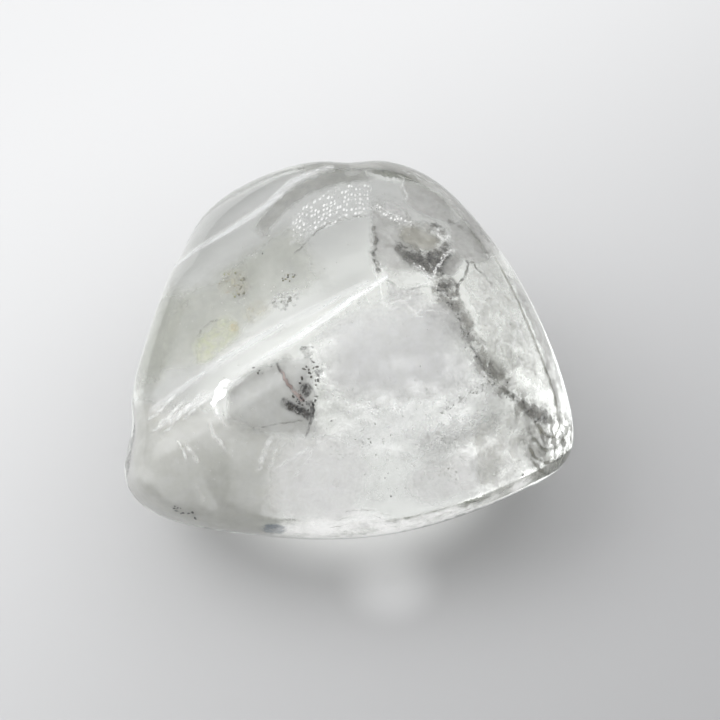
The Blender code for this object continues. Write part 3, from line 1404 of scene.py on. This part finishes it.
FEATURES = (
    Feature("milky_veil", MILK, (
        Sheet(trail(0.6, 304, 316, 360, 290, 420, 280, 458, 298),
              trail(0.6, 312, 404, 370, 420, 430, 420, 508, 404), 0.12, (40, 30)),
    )),
    # Pale clouds at the lower right, brightened by a painted glow.
    Feature("pale_clouds_painted_glow", PALE_AND_GLOW, (
        Blot((486, 466, 0.45), (92, 80), -15, 0.1, 0.1),
        Blot((440, 480, 0.5), (90, 60), -10, 0.1, 0.1),
        Blot((318, 482, 0.35), (130, 130), 15, 0.0, 0.05)
    )),
    Feature("tilted_crack", SILVER, (
        Sheet(trail(9.0, 312, 366, 360, 352, 430, 346, 512, 362),
              trail(9.0, 296, 450, 350, 462, 430, 460, 524, 434), 0.03, (40, 30), Lie.MIRROR),
    )),
    Feature("speckled_white", SPECKLED, (Blot((452, 440, 0.5), (90, 60), -20, 0.1, 0.1),)),
    Feature("thin_veils", VEIL, (
        Sheet(((300, 400, 0.6), (390, 380, 0.6), (450, 370, 0.6), (520, 380, 0.5)),
              trail(0.4, 290, 512, 380, 524, 450, 512, 556, 474), 0.3, (40, 30)),
    )),
    Feature("right_clouds", SNOW, (
        Sheet(((456, 268, 1.0), (484, 254, 0.8), (514, 286, 0.6)),
              ((500, 398, 1.5), (530, 404, 1.0), (562, 395, 0.5)), 0.4, (24, 36)),
        Sheet(trail(0.4, 470, 424, 500, 404, 530, 410), trail(0.3, 476, 492, 520, 500, 566, 470),
              0.1, (24, 24))
    )),
    Feature("lump_haze", HAZE, (
        Sheet(((0, 384, 0.3), (90, 386, 0.3), (160, 394, 0.6), (215, 404, 0.7), (275, 428, 0.7),
               (350, 436, 0.7)),
              ((0, 560, 0.3), (60, 585, 0.3), (120, 592, 0.3), (175, 588, 0.4), (225, 575, 0.4),
               (300, 545, 0.4)), 0.15, (60, 36)),
    )),
    Feature("lens_haze", LENS, (
        Sheet(((226, 388, 1.4), (250, 366, 1.5), (285, 352, 1.6), (318, 352, 1.6)),
              trail(1.2, 222, 434, 242, 446, 280, 446, 322, 444), 0.15, (30, 20)),
    )),
    Feature("olive_hazes", OLIVE, (
        Sheet(((172, 285, 0.5), (210, 262, 0.8), (262, 240, 1.0)),
              ((130, 400, 0.4), (200, 378, 0.8), (268, 335, 1.2)), 0.3, (30, 24)),
        Sheet(trail(0.4, 120, 400, 140, 330, 165, 270), trail(0.8, 165, 400, 180, 340, 205, 285),
              0.2, (30, 16)),
        Sheet(((215, 262, 1.6), (260, 232, 1.8), (300, 215, 2.0)),
              ((235, 345, 1.6), (290, 312, 1.8), (345, 285, 2.0)), 0.3, (30, 20))
    )),
    Feature("grey_facets_and_rim_shade", GREY_AND_RIM_SHADE, (
        Sheet(trail(1.2, 394, 170, 424, 182, 450, 200), trail(1.5, 402, 206, 430, 222, 460, 228),
              0.1, (20, 12)),
        Sheet(((444, 220, 1.2), (464, 216, 1.2), (486, 242, 1.1)),
              ((448, 254, 1.4), (472, 268, 1.4), (496, 264, 1.2)), 0.1, (20, 12)),
        Sheet(trail(2.0, 368, 190, 392, 192, 416, 208), trail(2.2, 366, 270, 394, 286, 420, 280),
              0.2, (20, 16)),
        Sheet(trail(2.2, 418, 304, 442, 298, 462, 302), trail(2.2, 424, 340, 446, 344, 468, 340),
              0.1, (16, 12)),
        # Painted shade: this strip and the last one darken the upper right and the right rim; the
        # oval between them is a grey facet.
        Ribbon(trail(0.6, 446, 190, 470, 212, 486, 236, 498, 262), (26, 20), 0.2, 0.1, (40, 8)),
        Blot((453, 265, 1.5), (30, 19), -52, 0.3, 0.05),
        Ribbon(trail(0.4, 500, 252, 528, 304, 547, 350, 559, 396, 566, 434), (14, 18), 0.2, 0.1,
               (60, 8))
    )),
    Feature("murky_core", MURK, (
        Sheet(((372, 226, 2.4), (396, 240, 2.4), (420, 250, 2.4), (448, 238, 2.2)),
              ((376, 244, 2.5), (398, 258, 2.5), (424, 276, 2.5), (456, 284, 2.3)), 0.2, (30, 16)),
        Sheet(((398, 218, 2.1), (420, 212, 2.1), (446, 222, 2.0)),
              ((402, 256, 2.3), (424, 264, 2.3), (450, 256, 2.2)), 0.2, (24, 16)),
        Ribbon(((436, 272, 2.5), (446, 292, 2.5), (456, 312, 2.4), (468, 336, 2.3), (480, 356, 2.1),
                (498, 380, 1.9), (520, 402, 1.6), (556, 424, 1.2)), (34, 34), 0.6, 0.25, (60, 10)),
        Ribbon(((452, 300, 2.0), (466, 322, 2.0), (478, 345, 1.9), (492, 368, 1.7),
                (512, 392, 1.5)), (18, 20), 0.5, 0.2, (50, 8)),
        Sheet(((510, 388, 0.7), (545, 388, 0.6), (610, 384, 0.4)),
              ((516, 450, 0.7), (540, 492, 0.6), (610, 500, 0.4)), 0.2, (24, 20)),
        Blot((428, 258, 2.4), (64, 44), 18, 0.4, 0.15),
        Blot((446, 292, 2.2), (30, 44), -20, 0.4, 0.15)
    )),
    Feature("brown_lens", BROWN, (Blot((419, 238, 1.8), (48, 28), 20, 0.3, 0.1),)),
    Feature("core_cracks", DARK, (
        Ribbon(((392, 240, 2.1), (406, 250, 2.2), (424, 260, 2.3), (440, 256, 2.2),
                (449, 240, 2.0)), (6, 13)),
        Blot((432, 262, 2.1), (44, 26), 15, 0.3), Blot((408, 254, 2.1), (34, 16), 28, 0.3),
        Ribbon(((462, 254, 1.5), (468, 263, 1.5), (466, 275, 1.6), (458, 285, 1.7),
                (458, 298, 1.8)), (3, 5)),
        Ribbon(((470, 261, 1.4), (480, 271, 1.3), (494, 286, 1.2)), (3, 2)),
        Blot((448, 288, 2.2), (24, 26), 20), Blot((446, 258, 1.9), (26, 36), 25),
        Blot((424, 264, 1.9), (52, 22), 22),
        Ribbon(trail(1.6, 430, 224, 438, 226, 446, 231), (5, 8)),
        Ribbon(trail(1.5, 447, 221, 456, 224, 464, 230), (7, 3)),
        Ribbon(trail(1.8, 373, 224, 376, 240, 374, 256, 380, 274), (6, 7))
    )),
    Feature("dark_band", BAND, (
        Ribbon(((438, 288, 1.6), (447, 302, 1.6), (455, 316, 1.6), (463, 331, 1.5), (470, 344, 1.5),
                (478, 359, 1.4), (489, 376, 1.3), (503, 390, 1.2)), (4, 5), 0.4, 0.1, (60, 5),
               jag_px=4.0),
        Ribbon(((500, 384, 1.2), (516, 399, 1.1), (532, 410, 1.0), (550, 420, 0.8)), (7, 14), 0.4),
        Blot((538, 416, 1.0), (34, 20), 20)
    )),
    Feature("corner_swirl", SWIRL, (
        Ribbon(trail(0.3, 489, 247, 511, 287, 528, 325, 545, 367, 554, 394, 560, 426), (3, 4), 0.1,
               0.05, (60, 4), jag_px=0.4),
        Ribbon(trail(0.3, 536, 422, 544, 434, 554, 436, 562, 424), (5, 6), 0.1, 0.05),
        Ribbon(trail(0.3, 530, 432, 540, 446, 552, 449, 564, 438, 568, 420), (6, 8), 0.1, 0.05),
        Ribbon(trail(0.3, 527, 444, 538, 459, 552, 462, 565, 450), (6, 6), 0.1, 0.05),
        Ribbon(trail(0.3, 530, 456, 541, 470, 552, 474, 564, 462, 570, 446), (7, 9), 0.1, 0.05)
    )),
    Feature("swirl_stains", HONEY, (
        Ribbon(((529, 440, 0.65), (540, 455, 0.65), (552, 459, 0.6), (564, 449, 0.4)), (6, 6)),
        Blot((545, 434, 0.7), (26, 14), 20)
    )),
    # Painted shade along the top and upper right rim, and below the upper groove.
    Feature("painted_rim_shades", PAINTED_RIM_SHADE, (
        Sheet(trail(0.4, 290, 150, 340, 140, 400, 150, 460, 180, 500, 240),
              trail(0.8, 300, 182, 345, 175, 392, 178, 440, 200, 484, 252), 0.1, (60, 10)),
        Ribbon(trail(0.8, 256, 236, 272, 216, 290, 199, 312, 186, 340, 177, 376, 174), (20, 18),
               0.3, 0.1, (50, 8))
    )),
    Feature("rim_seams", SEAM, (
        Ribbon(trail(0.8, 399, 174, 422, 182, 446, 201, 463, 218, 477, 238, 488, 254), (2.5, 4),
               0.2, 0.1, (50, 4)),
        Ribbon(trail(1.6, 288, 260, 305, 243, 320, 229, 338, 221, 356, 217, 373, 214), (3, 5), 0.3,
               0.1, (50, 4)),
        Ribbon(((385, 278, 1.8), (404, 290, 1.8), (428, 286, 1.9), (444, 300, 1.9)), (4, 3), 0.3,
               0.1, (40, 4))
    )),
    Feature("broken_ice", WHITE, (
        Sheet(trail(0.9, 384, 276, 402, 282, 424, 280), trail(0.9, 386, 306, 404, 314, 424, 306),
              0.3, (24, 20)),
        Blot((395, 212, 1.0), (34, 20), 40, 0.4)
    )),
    Feature("dark_cluster", BLACK, (
        Ribbon(trail(1.1, 280, 400, 290, 405, 302, 412, 312, 418), (13, 11), 0.3),
        Ribbon(((308, 400, 1.0), (313, 410, 1.0), (310, 424, 1.1), (305, 438, 1.2)), (9, 2), 0.3),
        Ribbon(trail(1.2, 276, 362, 284, 376, 292, 390), (4, 4), 0.3),
        Blot((306, 390, 1.1), (14, 18), 30)
    )),
    Feature("rust_streak", RUST, (
        Ribbon(trail(1.0, 280, 366, 286, 380, 298, 396, 306, 402), (4, 9), 0.2),
    )),
    Feature("grey_lens", SEAM, (
        Ribbon(trail(1.1, 221, 401, 226, 421, 240, 430, 260, 427, 290, 422, 305, 421), (2, 3), 0.2,
               0.05, (50, 4)),
    )),
    Feature("white_arcs", ARC, strips(
        ((6, 9), 208, 420, 214, 434, 221, 445, 225, 456), ((10, 5), 212, 398, 218, 414, 230, 430),
        ((4, 6), 326, 426, 308, 459, 292, 480), ((3, 5), 345, 430, 318, 444, 292, 458, 268, 474),
        ((8, 10), 272, 434, 264, 452, 257, 472), ((3, 5), 280, 438, 274, 456, 268, 472),
        ((6, 7), 195, 484, 205, 502), ((6, 8), 184, 442, 192, 452, 199, 464),
        ((3, 5), 176, 438, 183, 450, 186, 464), ((5, 6), 146, 424, 162, 408, 180, 390),
        ((5, 6), 150, 434, 170, 415, 190, 396), ((5, 9), 160, 436, 182, 414, 209, 386),
        ((4, 6), 180, 424, 196, 408, 212, 394), ((5, 7), 500, 300, 520, 330, 534, 362),
        ((6, 5), 506, 330, 498, 352, 510, 372), ((5, 6), 520, 318, 514, 346, 528, 378),
        ((4, 4), 468, 330, 480, 342, 488, 352)
    )),
    Feature("white_edges", EDGE, strips(
        ((2, 3), 371, 252, 376, 276, 383, 296, 388, 310, 398, 306, 408, 296, 414, 286),
        ((2, 2), 388, 310, 402, 300, 416, 312, 428, 306),
        ((2, 2), 413, 262, 424, 272, 432, 279, 440, 265, 450, 254, 461, 250),
        ((2, 2), 433, 279, 424, 284, 412, 286), ((2, 3), 399, 174, 404, 186, 407, 202),
        ((2, 2), 402, 170, 412, 176, 424, 184), ((2, 2), 484, 252, 490, 260, 495, 253),
        ((1.5, 1.5), 404, 170, 428, 180, 450, 200, 466, 217),
        ((2, 3), 436, 232, 444, 240, 450, 238), ((2, 2), 410, 318, 432, 312, 452, 310), jag_px=4.0
    )),
    Feature("bead_rows", BEADS, strips(
        ((5, 5), 414, 262, 424, 271, 432, 278, 438, 267, 446, 256, 456, 250),
        ((6, 8), 434, 230, 442, 237, 450, 240), ((8, 8), 372, 205, 386, 214, 402, 222, 412, 224),
        ((5, 5), 436, 278, 430, 284, 437, 288), ((5, 6), 376, 262, 384, 274, 380, 280)
    )),
    Feature("honey_stains", HONEY, (
        Blot((233, 283, 0.5), (40, 36), 20, 0.2), Blot((256, 312, 0.6), (26, 34), 60, 0.2)
    )),
    Feature("green_lens", LIME, (
        Sheet(trail(0.5, 188, 346, 202, 328, 222, 312, 240, 320),
              trail(0.5, 193, 368, 212, 366, 229, 351, 243, 334), 0.1),
    )),
    Feature("green_slit", SEAM, (
        Ribbon(trail(0.4, 195, 338, 205, 327, 218, 318), (4, 4)),
        Ribbon(trail(0.4, 243, 280, 245, 289, 243, 298), (2, 2))
    )),
    Feature("orange_spot", AMBER, (Blot((234, 327, 0.4), (14, 14), 0, 0.1),)),
    Feature("flank_veil", FLANK, (
        Sheet(trail(1.4, -200, -4, -165, -4, -130, -4, -90, -4, -50, -4, -15, -4, 20, -4),
              trail(0.5, -200, -36, -165, -38, -130, -42, -90, -44, -50, -42, -15, -38, 20, -36),
              0.3, (80, 24), Lie.FLANK),
    )),
    Feature("dot_rows", NET, (
        Sheet(trail(0, 288, 222, 306, 202, 332, 187, 352, 180, 374, 182),
              trail(0, 288, 248, 314, 236, 342, 224, 370, 220), 0.05, (40, 12), Lie.SURFACE),
    )),
    # Painted light: glowing white sheets along the bottom rim, standing for a caustic.
    Feature("bottom_painted_caustic", CAUSTIC_GLOW, (
        Blot((306, 530, 0.3), (84, 24), 1, 0.05), Blot((330, 528, 0.3), (64, 24), -2, 0.05),
        Blot((366, 524, 0.3), (64, 32), -4, 0.05), Blot((392, 526, 0.3), (44, 20), -8, 0.05),
        Blot((420, 519, 0.3), (56, 12), -15, 0.05), Blot((346, 512, 0.4), (56, 14), -6, 0.05),
        Blot((446, 511, 0.3), (50, 9), -20, 0.05), Blot((522, 484, 0.3), (32, 12), -36, 0.05),
        Ribbon(trail(0.2, 262, 535, 300, 538, 340, 539, 380, 534, 420, 525, 460, 512, 500, 497, 540,
                     477), (8, 12), 0.05, 0.05, (80, 4))
    )),
    Feature("bottom_lines", SEAM, (
        Ribbon(trail(0.3, 342, 512, 366, 510, 394, 517), (1.6, 1.6), 0.1),
        Ribbon(trail(0.3, 338, 520, 366, 516, 397, 523), (1.8, 1.8), 0.1),
        Ribbon(trail(0.3, 328, 528, 366, 522, 399, 528), (1.6, 1.6), 0.1)
    )),
    Feature("blue_spot", BLUE, (Blot((274, 529, 0.14), (30, 13), 4, 0.0, 0.0),))
)

GLINTS = (
    Glints("star_glint", FLASH, (
        Glint((219, 394, 0.3), (1.1, 2.0), 20, 2), Glint((223, 384, 0.3), (1.4, 0.7), -40, 3),
        Glint((214, 404, 0.3), (0.7, 0.5), 40, 4)
    )),
)

SOOT = Mineral("black_grains", (0.03, 0.03, 0.028, 1), (0.1, 0.09, 0.07, 1))
SPECK = Mineral("olive_grains", (0.4, 0.4, 0.14, 1), (0.16, 0.15, 0.07, 1))
PEARL = Mineral("white_bubbles", (0.98, 0.98, 0.97, 1), (0.93, 0.93, 0.91, 1), 0.2)
ASH = Mineral("grey_grains", (0.35, 0.35, 0.32, 1), (0.55, 0.55, 0.51, 1), 0.5)

GRAINS = (
    Grains(
        "bead_chain", PEARL, size_mm=(0.12, 0.3), stretch=1.3, layout=Layout.LINE, depth_mm=0.1,
        seed=4,
        shapes=(
            (Ribbon(trail(0.4, 413, 264, 424, 272, 432, 279, 439, 266, 446, 256, 455, 250), (3, 3)),
             26),
            (Ribbon(trail(0.4, 436, 231, 444, 238, 450, 240), (4, 6)), 12),
            (Ribbon(trail(0.4, 372, 205, 388, 214, 400, 222), (6, 10)), 22)
        )
    ),
    Grains("cluster_grains", SOOT, size_mm=(0.05, 0.24), stretch=2.4, seed=5, shapes=(
        (Blot((309, 386, 1.2), (20, 50), 8), 36), (Blot((262, 364, 1.2), (20, 20), 20), 8),
        (Blot((298, 406, 1.0), (36, 16), 24), 30)
    )),
    Grains("stray_dots", SOOT, size_mm=(0.12, 0.24), stretch=1.4, depth_mm=0.1, seed=6, shapes=(
        (Blot((244, 278, 0.6), (1, 1)), 1), (Blot((244, 279, 0.6), (2, 3)), 2),
        (Blot((262, 254, 0.8), (2, 2)), 1), (Blot((236, 290, 0.6), (18, 16)), 4),
        (Blot((293, 276, 0.7), (14, 5)), 3), (Blot((377, 334, 1.0), (2, 2)), 1),
        (Blot((523, 474, 0.5), (2, 2)), 1), (Blot((391, 496, 0.8), (2, 2)), 1),
        (Blot((331, 420, 0.8), (2, 2)), 1)
    )),
    Grains(
        "olive_specks", SPECK, size_mm=(0.06, 0.2), stretch=1.5, depth_mm=0.1, seed=7,
        shapes=(
            (Blot((291, 278, 0.8), (20, 9)), 12), (Blot((242, 294, 0.7), (12, 8)), 7),
            (Blot((232, 284, 0.7), (26, 26)), 12)
        )
    ),
    Grains("crystal_cluster", PEARL, size_mm=(0.1, 0.35), stretch=1.8, seed=8, shapes=(
        (Blot((285, 301, 0.5), (28, 17), -15), 34),
    )),
    Grains("crystal_shadows", ASH, size_mm=(0.1, 0.3), stretch=1.8, seed=9, shapes=(
        (Blot((283, 303, 0.7), (26, 12), -10), 14),
    )),
    Grains("granular_crack", ASH, size_mm=(0.04, 0.12), stretch=2.2, seed=10, shapes=(
        (Ribbon(trail(0.8, 440, 415, 457, 402, 472, 393, 491, 382), (4, 7)), 90),
        (Blot((443, 430, 0.8), (10, 22), 0), 18), (Blot((455, 443, 0.8), (30, 10), 15), 50),
        (Blot((457, 474, 0.8), (38, 14), -5), 44), (Blot((350, 452, 1.0), (60, 8), -28), 24)
    )),
    Grains("rim_dirt", SOOT, size_mm=(0.08, 0.24), stretch=2.0, depth_mm=0.05, seed=11, shapes=(
        (Ribbon(trail(0.25, 174, 507, 184, 513, 196, 516), (5, 5)), 18),
    )),
    Grains("band_grains", SOOT, size_mm=(0.05, 0.18), stretch=2.4, seed=12, shapes=(
        (Ribbon(((440, 286, 1.8), (455, 314, 1.8), (470, 344, 1.7), (491, 374, 1.5),
                 (514, 400, 1.3), (544, 418, 1.0)), (14, 18)), 60),
        (Blot((432, 262, 1.9), (44, 26), 20), 30), (Blot((538, 420, 0.8), (30, 26), 0), 24)
    )),
    Grains(
        "fine_bubbles", PEARL, size_mm=(0.05, 0.14), stretch=1.6, depth_mm=0.25, seed=13,
        shapes=(
            (Sheet(trail(0.4, 180, 300, 280, 200, 380, 190, 470, 260),
                   trail(0.4, 160, 460, 260, 500, 400, 500, 540, 460)), 260),
            (Blot((458, 300, 0.4), (60, 70), 50), 70), (Blot((510, 350, 0.4), (60, 90), -25), 60),
            (Blot((400, 430, 0.4), (160, 110), 0), 110)
        )
    )
)


def settle_light_paths() -> None:
    """Let light pass the stone's many inner surfaces."""
    scene = bpy.context.scene
    scene.view_settings.view_transform = "Standard"
    scene.cycles.max_bounces = 24
    scene.cycles.transmission_bounces = 24
    scene.cycles.glossy_bounces = 12
    scene.cycles.diffuse_bounces = 12
    scene.cycles.transparent_max_bounces = 48
    scene.cycles.sample_clamp_indirect = 6.0


def main() -> None:
    """Build the camera, the studio and the stone."""
    logging.basicConfig(level=logging.INFO)
    settle_light_paths()
    view = Viewpoint()
    view.build()
    studio = Studio()
    studio.light()
    log.info("floor: %s", studio.floor().name)
    stone = Stone(view)
    log.info("stone: %s", stone.build().name)
    inside = Inside(view, stone.surface)
    for part in FEATURES + GRAINS + GLINTS:
        log.info("inside: %s", part.build(inside).name)


if __name__ == "__main__":
    main()
